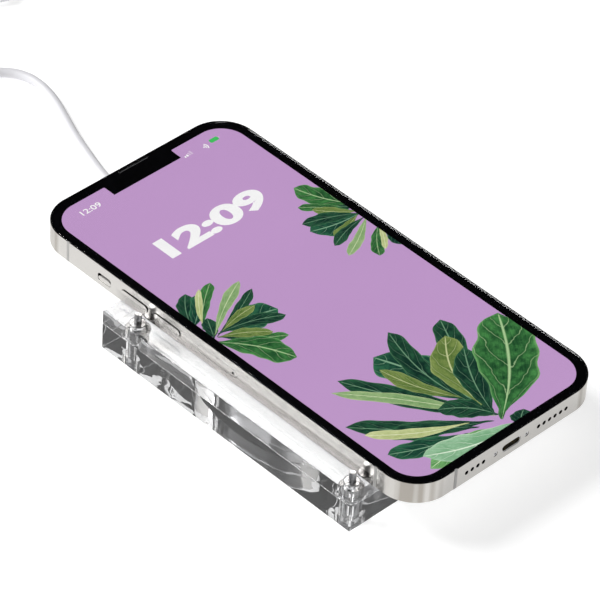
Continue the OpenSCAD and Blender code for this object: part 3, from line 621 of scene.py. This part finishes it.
def leafMaterial(name, tone, glow, s=leafVeins):
    # along the leaf is u, across it is v: a midrib, side veins that sweep forward, and a pale rim
    material = bpy.data.materials.new("leaf" + name.capitalize())
    material.use_nodes = True
    nodes = material.node_tree.nodes
    nodes.remove(nodes["Principled BSDF"])
    shine = addNode(material, "ShaderNodeEmission")
    shine.inputs["Strength"].default_value = glow
    link(material, shine.outputs["Emission"], nodes["Material Output"].inputs["Surface"])

    def maths(kind, a, b=None):
        return addMaths(material, kind, a, b)

    uv = addNode(material, "ShaderNodeUVMap", uv_map="UVMap")
    parts = addNode(material, "ShaderNodeSeparateXYZ")
    link(material, uv.outputs["UV"], parts.inputs[0])
    u, v = parts.outputs["X"], parts.outputs["Y"]
    off = maths("MULTIPLY", maths("ABSOLUTE", maths("SUBTRACT", v, 0.5)), 2)      # 0 at the midrib, 1 at the rim
    wobble = maths("MULTIPLY", addNoise(material, s["wobbleScale"], 3), s["wobble"])
    bent = maths("ADD", maths("MULTIPLY", off, s["lean"]), maths("MULTIPLY", maths("MULTIPLY", off, off), s["sweep"]))
    swept = maths("ADD", maths("SUBTRACT", u, bent), wobble)
    wave = maths("ABSOLUTE", maths("SINE", maths("MULTIPLY", swept, s["pairs"])))
    sideVein = spread(material, wave, s["sideShow"], 0, *s["sideWidth"])
    midrib = spread(material, off, 1, 0, *s["midrib"])
    rim = spread(material, off, 0, s["rimShow"], *s["rim"])
    # fine fibres run along the leaf, and it is greener towards its tip and rim
    along = addNode(material, "ShaderNodeMapping")
    along.inputs["Scale"].default_value = s["fibres"]
    link(material, uv.outputs["UV"], along.inputs["Vector"])
    fibre = addNode(material, "ShaderNodeTexNoise", Scale=1, Detail=5, Roughness=0.7)
    link(material, along.outputs["Vector"], fibre.inputs["Vector"])
    fibres = maths("MULTIPLY", spread(material, fibre.outputs["Fac"], 0, 1, *s["fibreSpan"]), 0.5)
    patches = spread(material, addNoise(material, s["patchScale"], 4, rough=0.62), 0, 1, *s["patchSpan"])
    fresh = maths("ADD", maths("MULTIPLY", maths("POWER", u, 4.0), s["freshTip"]),
                  maths("MULTIPLY", maths("POWER", off, 4.0), s["freshRim"]))
    share = maths("ADD", maths("MULTIPLY", patches, spread(material, wave, *s["ridges"])), fibres)
    share = maths("ADD", maths("MULTIPLY", share, 0.5), fresh)
    colour = twoTone(material, share, tone["low"], tone["high"])
    colour = paintOver(material, colour, ((rim, tone["edge"]), (sideVein, tone["vein"]), (midrib, tone["vein"])))
    link(material, colour, shine.inputs["Color"])
    return material


leafMaterials = {name: leafMaterial(name, tone, screenSet["glow"]) for name, tone in leafTones.items()}

# each leaf: tone, foot, tip, greatest width, where it is widest along its length, and how far it bows
leafSets = {
    "mainLeaves": [
        ("dark", (5, -81), (11, -75), 6, 0.5, 0.1), ("teal", (3, -65), (-6, -31), 16, 0.62, -0.05),
        ("dark", (2, -66), (5, -26), 8.5, 0.62, 0.08), ("dark", (4, -72), (-21, -31.5), 8, 0.65, 0.03),
        ("olive", (1, -60), (-8.5, -36), 5.5, 0.62, 0.06), ("pale", (3, -72), (-26, -34), 4.5, 0.62, -0.03),
        ("dark", (4, -72), (-8, -59), 8, 0.5, -0.1), ("dark", (3, -67), (20.5, -32), 8, 0.88, 0.0),
        ("olive", (3, -66), (16.5, -38), 11, 0.62, 0.1), ("dark", (3, -71), (17, -45), 9, 0.6, 0.05),
        ("mid", (3, -74), (35.5, -41), 19, 0.62, -0.06), ("dark", (1, -73), (-33, -47), 7.5, 0.62, 0.05),
        ("dark", (-4, -72), (-27.5, -57), 7, 0.6, -0.04), ("cream", (-5, -69), (-31.3, -53), 4.2, 0.72, 0.05),
        ("teal", (-8, -72), (-32, -63), 7.5, 0.6, 0.04), ("light", (3, -77), (-27, -75), 8, 0.6, -0.05),
        ("mint", (7, -78), (-25, -70), 10, 0.55, 0.08),
    ],
    "sideLeaves": [
        ("dark", (-36, 14), (-28, 25), 5, 0.6, 0.05), ("teal", (-37, 12), (-25.5, 22.5), 5, 0.6, -0.05),
        ("mid", (-35, 10), (-19, 24), 4, 0.78, 0.04), ("cream", (-34, 11), (-23.5, 24), 2.2, 0.65, 0.03),
        ("dark", (-35, 5), (-30.5, 13), 4.5, 0.5, 0), ("teal", (-32, 6), (-12, 2.5), 10.5, 0.6, 0.05),
        ("dark", (-34, 5), (-11.5, 14), 3.5, 0.72, -0.03), ("pale", (-34, 6), (-12, 19), 3.8, 0.72, 0.03),
        ("dark", (-33, 6), (-12, -1), 5, 0.68, 0.06), ("olive", (-31, 6), (-16, 8), 3.4, 0.65, 0.04),
        ("mid", (-34, 5), (-17.5, -8), 3.6, 0.85, -0.04), ("dark", (-34, 5), (-24, -5), 5, 0.6, 0.1),
        ("mid", (-36, 4), (-22.5, -16.5), 9.5, 0.62, 0.06), ("olive", (-34, 5), (-20, -4), 4, 0.6, 0.05),
    ],
    "farLeaves": [
        ("dark", (38, 21), (30.5, 28), 4.5, 0.5, 0), ("mid", (39, 22), (30, 39.5), 8.5, 0.6, 0.06),
        ("mid", (37, 19), (24.5, 32), 3.6, 0.82, -0.05), ("olive", (37, 19), (27, 28.5), 4, 0.6, 0.04),
        ("teal", (37, 18), (19.5, 21.5), 8.5, 0.55, 0.05), ("dark", (37, 18), (20, 25.5), 5, 0.66, -0.04),
        ("olive", (36, 18), (23.5, 15.5), 3.2, 0.66, 0.05), ("dark", (37, 16), (20.5, 12), 3.8, 0.74, -0.05),
        ("pale", (38, 16), (20.5, 6), 3.4, 0.74, 0.03), ("dark", (39, 11), (36, -0.5), 5, 0.6, 0.05),
        ("mid", (38, 11), (27.5, 0), 4.2, 0.76, -0.05), ("cream", (38, 11), (31, 1), 2.1, 0.65, 0.03),
    ],
}


leafShape = {
    "rows": 34, "columns": 10, "tipRows": 1.8, "tipRound": 2.4, "stalk": 0.05, "layer": 0.0012,
    "ripples": ((0.09, 11), (0.05, 27)),    # how deep, and how often along the rim
    "footCurve": 0.05, "tipCurve": 0.03,
}


def makeLeaf(name, number, leafRow, s=leafShape):
    tone, foot, tip, width, widest, bow = leafRow
    deselectAll()
    bpy.ops.mesh.primitive_grid_add(x_subdivisions=s["rows"], y_subdivisions=s["columns"], size=1)
    leaf = bpy.context.object
    rough = random.Random(number * 7 + 3)
    phase = [rough.uniform(0, 6.28) for _ in range(4)]
    start, end = Vector(foot), Vector(tip)
    way = end - start
    across = Vector((-way.y, way.x)).normalized()
    for vertex in leaf.data.vertices:
        u, v = 1 - (0.5 - vertex.co.x) ** s["tipRows"], vertex.co.y * 2     # closer rows towards the round tip
        if u < widest:
            half = width / 2 * max(0.0, math.sin(u / widest * math.pi / 2))
        else:
            half = width / 2 * math.sqrt(max(0, 1 - ((u - widest) / (1 - widest)) ** s["tipRound"]))
        half = max(half, width * s["stalk"] * (1 - u))
        side = 1 if v > 0 else -1
        ripple = 1
        for (deep, often), turn in zip(s["ripples"], phase):
            ripple += deep * math.sin(often * u + turn * side)
        reach = u + s["footCurve"] * (v * v) * (1 - u) - s["tipCurve"] * v * v * u
        place = start + way * reach + across * (v * half * ripple + bow * way.length * math.sin(math.pi * u))
        vertex.co = (place.x * mm, place.y * mm, (screenSet["top"] + number * s["layer"]) * mm)
    settle(leaf, name)
    leaf.data.materials.append(leafMaterials[tone])
    return leaf


def makeLeaves():
    for clusterName, rows in leafSets.items():
        cluster = joinAll([makeLeaf(clusterName + str(number), number, row) for number, row in enumerate(rows)])
        editAll(cluster)
        for side in (-1, 1):                # nothing of the drawing reaches past the border's middle
            for way, reach in (((side, 0, 0), screenSet["reach"][0]), ((0, side, 0), screenSet["reach"][1])):
                bpy.ops.mesh.select_all(action="SELECT")
                point = (screenSet["middle"][0] * mm + way[0] * reach * mm, way[1] * reach * mm, 0)
                bpy.ops.mesh.bisect(plane_co=point, plane_no=way, clear_outer=True)
        leaveEdit()
        settle(cluster, clusterName)
        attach(cluster, "phone")


makeLeaves()
print("leaves drawn")


marksSet = {
    "level": 21.585,
    "clock": {"text": "12:09", "centre": (0.6, 43.6), "height": 9.5, "thicken": 0.045, "width": 41},
    "smallClock": {"text": "12:09", "centre": (-22.8, 72.1), "height": 2.2, "thicken": 0.012, "width": 7.6},
    "bars": [(15.4, 0.7, "strong"), (16.3, 1.0, "strong"), (17.2, 1.4, "weak"), (18.1, 1.8, "weak")],
    "barLow": 71.3, "barWidth": 0.6, "barCorner": 0.15,
    "radio": (22.5, 71.4), "arcs": ((0.0001, 0.55), (0.85, 1.2), (1.5, 1.9)),
    "battery": (27.7, 72.2), "batterySize": (3.4, 1.7), "batteryCorner": 0.5,
    "tipAway": 2.0, "tipSize": (0.25, 0.7), "tipCorner": 0.1,
}
white = litMaterial("markWhite", (0.93, 0.93, 0.93), 1.09, vary=0.01)
faint = litMaterial("markFaint", (0.66, 0.52, 0.70), 1.09, vary=0.01)
green = litMaterial("markGreen", (0.06, 0.52, 0.12), 1.09, vary=0.02)


def makeNumerals(name, s, level):
    bpy.ops.object.text_add()
    numerals = bpy.context.object
    numerals.data.body = s["text"]
    numerals.data.offset = s["thicken"]
    numerals.data.resolution_u = 6
    numerals.data.align_x = "CENTER"
    numerals.data.align_y = "CENTER"
    useOnly(numerals)
    bpy.ops.object.convert(target="MESH")
    numerals = bpy.context.object
    xs = [v.co.x for v in numerals.data.vertices]
    ys = [v.co.y for v in numerals.data.vertices]
    spanX, spanY = max(xs) - min(xs), max(ys) - min(ys)
    midX, midY = (max(xs) + min(xs)) / 2, (max(ys) + min(ys)) / 2
    for v in numerals.data.vertices:
        v.co = ((s["centre"][0] + (v.co.x - midX) / spanX * s["width"]) * mm,
                (s["centre"][1] + (v.co.y - midY) / spanY * s["height"]) * mm, level * mm)
    settle(numerals, name)
    dress(numerals, white, "phone")


def makePlate(name, centre, size, radius, level, material):
    deselectAll()
    bpy.ops.mesh.primitive_plane_add(size=1)
    plate = bpy.context.object
    plate.scale = (size[0] * mm, size[1] * mm, 1)
    plate.location = (centre[0] * mm, centre[1] * mm, level * mm)
    settle(plate, name)
    editAll(plate)
    bpy.ops.mesh.bevel(offset=radius * mm, segments=5, affect="VERTICES", clamp_overlap=True)
    leaveEdit()
    dress(plate, material, "phone")
    return plate


def makeArc(name, centre, inner, outer, level, material):
    # an arc that opens upwards, from a short edge swept round
    deselectAll()
    bpy.ops.mesh.primitive_plane_add(size=1)
    arc = bpy.context.object
    editAll(arc)
    bpy.ops.mesh.delete(type="ONLY_FACE")
    leaveEdit()
    a = math.radians(45)
    ends = [(math.cos(a) * r, math.sin(a) * r) for r in (inner, outer)]
    for v in arc.data.vertices:
        r = ends[0] if v.co.x < 0 else ends[1]
        v.co = ((centre[0] + r[0]) * mm, (centre[1] + r[1]) * mm, level * mm)
    editAll(arc)
    bpy.ops.mesh.remove_doubles(threshold=0.00001)
    bpy.ops.mesh.spin(steps=12, angle=math.radians(90), center=(centre[0] * mm, centre[1] * mm, level * mm),
                      axis=(0, 0, 1))
    leaveEdit()
    faceUp(arc)
    settle(arc, name)
    dress(arc, material, "phone")


def makeMarks(s):
    makeNumerals("clockNumerals", s["clock"], s["level"])
    makeNumerals("statusNumerals", s["smallClock"], s["level"])
    shades = {"strong": white, "weak": faint}
    for i, (x, height, shade) in enumerate(s["bars"]):
        makePlate(f"signalBar{i + 1}", (x, s["barLow"] + height / 2), (s["barWidth"], height), s["barCorner"],
                  s["level"], shades[shade])
    for i, (inner, outer) in enumerate(s["arcs"]):
        makeArc(f"radioArc{i + 1}", s["radio"], inner, outer, s["level"], white)
    x, y = s["battery"]
    makePlate("batteryBody", (x, y), s["batterySize"], s["batteryCorner"], s["level"], green)
    makePlate("batteryTip", (x + s["tipAway"], y), s["tipSize"], s["tipCorner"], s["level"], faint)


makeMarks(marksSet)
print("numerals and marks placed")


glassSet = {"level": 21.592, "edge": 11.8, "width": 77.2, "length": 159.9, "border": 3.0, "centre": (0.6, 0),
            "edgeSteps": 18, "notchWidth": 27.3, "notchLow": 72.4, "notchRadius": 3.9, "ear": 0.5, "arcSteps": 8,
            "overlap": 0.1, "under": 0.002, "bevel": 0.22}


def makeBorder(s):
    ink = textured("borderInk", (0.0006, 0.0006, 0.0008), vary=0.1, tone=300, rough=(0.5, 0.6), grain=3000,
                   Specular_IOR_Level=0.0)
    deselectAll()
    bpy.ops.mesh.primitive_plane_add(size=1)
    border = bpy.context.object
    border.scale = (s["width"] * mm, s["length"] * mm, 1)
    border.location = (s["centre"][0] * mm, s["centre"][1] * mm, s["level"] * mm)
    settle(border, "printedBorder")
    editAll(border)
    bpy.ops.mesh.bevel(offset=s["edge"] * mm, segments=s["edgeSteps"], affect="VERTICES")
    bpy.ops.mesh.select_all(action="SELECT")
    bpy.ops.mesh.inset(thickness=s["border"] * mm)
    bpy.ops.mesh.delete(type="FACE")
    leaveEdit()
    # the notch, with rounded lower corners and small hollow curves where it meets the border
    half, low, top = s["notchWidth"] / 2, s["notchLow"], s["length"] / 2 - s["border"] + s["overlap"]
    corner, ear = s["notchRadius"], s["ear"]
    outline = []
    for x, y, radius, angle, turn in ((-half - ear, top - s["overlap"] - ear, ear, 90, -90),
                                      (-half + corner, low + corner, corner, 180, 90)):
        for k in range(s["arcSteps"] + 1):
            t = math.radians(angle + turn * k / s["arcSteps"])
            outline.append((x + radius * math.cos(t), y + radius * math.sin(t)))
    outline += [(-x, y) for x, y in reversed(outline)]
    outline = [(-half - ear, top)] + outline + [(half + ear, top)]
    bpy.ops.mesh.primitive_circle_add(vertices=len(outline), fill_type="NGON", radius=1)
    notch = bpy.context.object
    for v, (x, y) in zip(notch.data.vertices, outline):
        v.co = ((x + s["centre"][0]) * mm, (y + s["centre"][1]) * mm, (s["level"] - s["under"]) * mm)
    settle(notch, "printedNotch")
    faceUp(notch)
    for piece in (border, notch):
        dress(piece, ink, "phone")


makeBorder(glassSet)
glass = copyOfNode("cover_glass", "frontGlass")
applyBevel(glass, glassSet["bevel"], 3)
smooth(glass)
dress(glass, made["coverGlass"], "phone")
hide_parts("cover_glass")
print("glass fitted")


bandSet = {"edge": 0.14, "keyEdge": 0.1, "segments": 2, "wallNormal": 0.5, "wallDepth": 1.0,
           "pieces": {"band_left": "bandLeft", "band_right": "bandRight", "band_bottom_left": "bandBottomLeft",
                      "band_bottom_right": "bandBottomRight", "band_top_left": "bandTopLeft",
                      "band_top_right": "bandTopRight"},
           "keys": {"volume_up": ("volumeUpKey", "volume_up"), "volume_down": ("volumeDownKey", "volume_down"),
                    "side_button": ("sideKey", "side_button"), "ring_switch": ("ringLever", "ring_switch"),
                    "sim_tray": ("cardTray", "sim_tray")}}


def makeBand(s):
    for node, name in s["pieces"].items():
        piece = copyOfNode(node, name)
        applyBevel(piece, s["edge"], s["segments"])
        smooth(piece)
        dress(piece, made["steel"], "phone")
        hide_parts(node)
    for node, (name, body) in s["keys"].items():
        piece = copyOfNode(node, name)
        applyBevel(piece, s["keyEdge"], s["segments"])
        smooth(piece)
        dress(piece, made["steel"], body)
        piece.data.materials.append(made["paintedGapShade"])          # the walls of a key are painted near-black, painted shade that stands for its own dark gap
        piece.data.materials.append(made["drawnSteel"])        # what lies deeper is plain steel when it is drawn out
        reach = max(abs(vertex.co.x) for vertex in piece.data.vertices) - s["wallDepth"] * mm
        for face in piece.data.polygons:
            if abs(face.center.x) < reach:
                face.material_index = 2
            # the side walls of a key take the painted gap shade
            elif abs(face.normal.x) < s["wallNormal"]:
                face.material_index = 1
        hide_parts(node)


makeBand(bandSet)
print("band finished")


plateSet = {"edge": 0.3, "segments": 3, "seam": 9.65, "air": 0.03,
            "pieces": {"upper_plate": "upperPlate", "lower_plate": "lowerPlate"}}


def makePlates(s):
    for node, name in s["pieces"].items():
        plate = copyOfNode(node, name)
        if name == "upperPlate":            # a hair of air between the plates, so that each has its own face
            for vertex in plate.data.vertices:
                if abs(vertex.co.z - s["seam"] * mm) < 0.00001:
                    vertex.co.z += s["air"] * mm
        applyBevel(plate, s["edge"], s["segments"])
        smooth(plate)
        dress(plate, made["acrylic"], "dock")
        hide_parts(node)


makePlates(plateSet)
print("plates polished")


postSet = {"corners": [(-41.3, -58.8), (41.3, -58.8), (-41.3, 30.7), (41.3, 30.7)], "round": 40,
           "shankLow": 0.95, "seam": 9.65, "flange": 10.65, "top": 14.65, "pinTop": 17.95,
           "shank": (1.72, 1.99), "collar": (2.12, 2.39), "pitch": 0.9, "crest": (0.35, 0.55, 0.9),
           "flangeRadius": 3.8, "flangeSoft": 0.2, "collarRim": 0.45, "collarSoft": 0.12,
           "pin": 1.1, "pinSoft": 0.15, "step": 0.02}


def ridges(s, radii, z, stop):
    # one turned ridge for each pitch that fits below the stop
    low, high = radii
    rise, fall, foot = (s["pitch"] * share for share in s["crest"])
    line = []
    while z + s["pitch"] < stop:
        line += [(low, z), (high, z + rise), (high, z + fall), (low, z + foot)]
        z += s["pitch"]
    return line


def postProfile(s):
    # radius and height from the foot up
    step, soft, flange = s["step"], s["flangeSoft"], s["flangeRadius"]
    rim, rimSoft, pin = s["collar"][1], s["collarSoft"], s["pin"]
    line = [(s["shank"][0], s["shankLow"])]
    line += ridges(s, s["shank"], s["shankLow"] + 0.2, s["seam"])
    line += [(s["shank"][1], s["seam"] - step), (flange - soft, s["seam"] + step / 2), (flange, s["seam"] + soft),
             (flange, s["flange"] - soft), (flange - soft, s["flange"]), (s["collar"][0], s["flange"] + step)]
    line += ridges(s, s["collar"], s["flange"] + 0.1, s["top"] - 0.5)
    line += [(rim, s["top"] - s["collarRim"]), (rim, s["top"] - rimSoft), (rim - rimSoft, s["top"]),
             (pin + step, s["top"] + step / 2), (pin, s["top"] + 0.1), (pin, s["pinTop"] - s["pinSoft"]),
             (pin - s["pinSoft"], s["pinTop"])]
    return line


def makePosts(s):
    line = postProfile(s)
    posts = []
    for x, y in s["corners"]:
        deselectAll()
        bpy.ops.mesh.primitive_circle_add(vertices=s["round"], radius=line[0][0] * mm, fill_type="NGON",
                                          location=(x * mm, y * mm, line[0][1] * mm))
        post = settle(bpy.context.object, "post")
        editAll(post)
        for (r0, z0), (r1, z1) in zip(line, line[1:]):
            bpy.ops.mesh.extrude_region_move(TRANSFORM_OT_translate={"value": (0, 0, (z1 - z0) * mm)})
            bpy.ops.transform.resize(value=(r1 / r0, r1 / r0, 1), center_override=(x * mm, y * mm, z1 * mm))
        bpy.ops.mesh.select_all(action="SELECT")
        bpy.ops.mesh.normals_make_consistent(inside=False)
        leaveEdit()
        posts.append(post)
    posts = settle(joinAll(posts), "cornerPosts")
    smooth(posts, 30)
    dress(posts, made["turnedSteel"], "dock")
    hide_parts("corner_posts")


makePosts(postSet)
print("posts turned")
